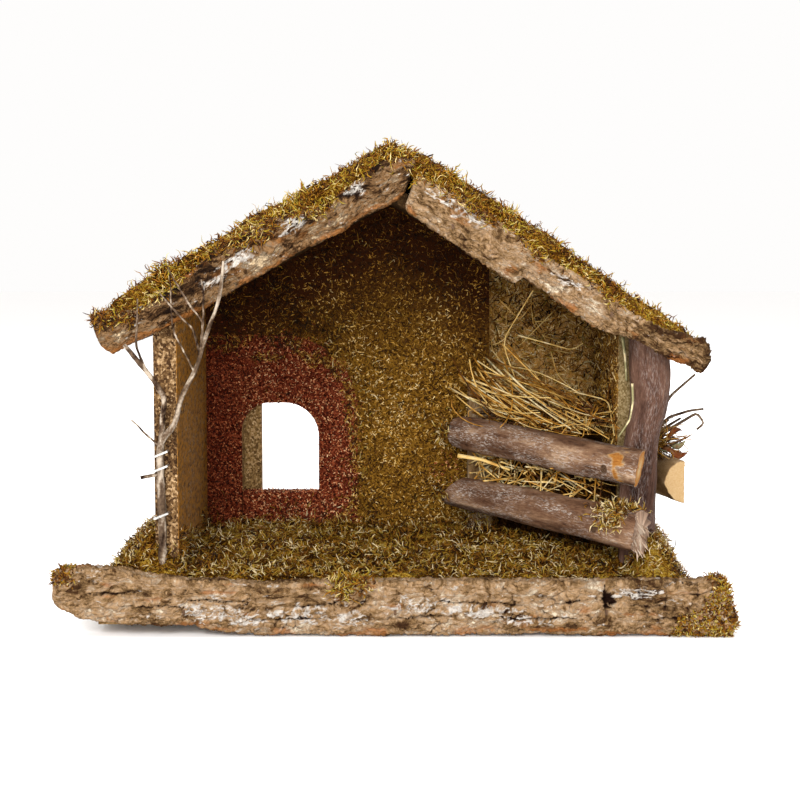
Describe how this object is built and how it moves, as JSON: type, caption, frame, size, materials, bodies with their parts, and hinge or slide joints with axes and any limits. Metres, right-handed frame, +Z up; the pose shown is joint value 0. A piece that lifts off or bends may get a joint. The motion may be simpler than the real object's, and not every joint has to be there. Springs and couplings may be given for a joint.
{
  "type": "nativity stable",
  "caption": "Open-fronted nativity stable of chipboard, with bark slabs on its edges, moss on its floor and gabled roof, an arched window, and a corner hay rack of branches.",
  "frame": {"origin": "middle of the footprint, on the table that the stable stands on", "axes": "+X to the right of someone who looks in from the front, +Y to the back, +Z up"},
  "size_m": [0.35, 0.18, 0.2504],
  "materials": {
    "chipboard": "sawn chipboard, unpainted",
    "bark": "rough bark with pale lichen",
    "branch": "smooth branch bark, sawn ends",
    "weathered_branch": "weathered grey bark, pale sawn ends",
    "twig": "dry grey twig bark",
    "moss": "dried moss, matte",
    "hay": "dry hay, slight sheen on the blades",
    "sawdust": "glued sawdust and shavings",
    "brick_sawdust": "glued sawdust, brick red",
    "steel": "bare wire"
  },
  "bodies": {
    "root": {"back_brads": "steel", "back_wall": "chipboard", "bark_brads": "steel", "base_board": "chipboard", "base_brads": "steel", "brick_coat": "brick_sawdust", "corner_post": "branch", "floor_moss": "moss", "forked_twig": "twig", "front_bark_slab": "bark", "hay_bed": "hay", "hay_straws": "hay", "left_wall": "chipboard", "lower_rail": "branch", "rack_post": "weathered_branch", "rail_nails": "steel", "rear_batten": "chipboard", "right_back_board": "chipboard", "right_wall": "chipboard", "roof_bark_left": "bark", "roof_bark_right": "bark", "roof_brads": "steel", "roof_moss_left": "moss", "roof_moss_right": "moss", "roof_panel_left": "chipboard", "roof_panel_right": "chipboard", "sawdust_coat": "sawdust", "side_clump": "moss", "side_log": "weathered_branch", "side_twigs": "twig", "twig_staples": "steel", "upper_rail": "branch", "window_sill_block": "chipboard"}
  },
  "joints": []
}
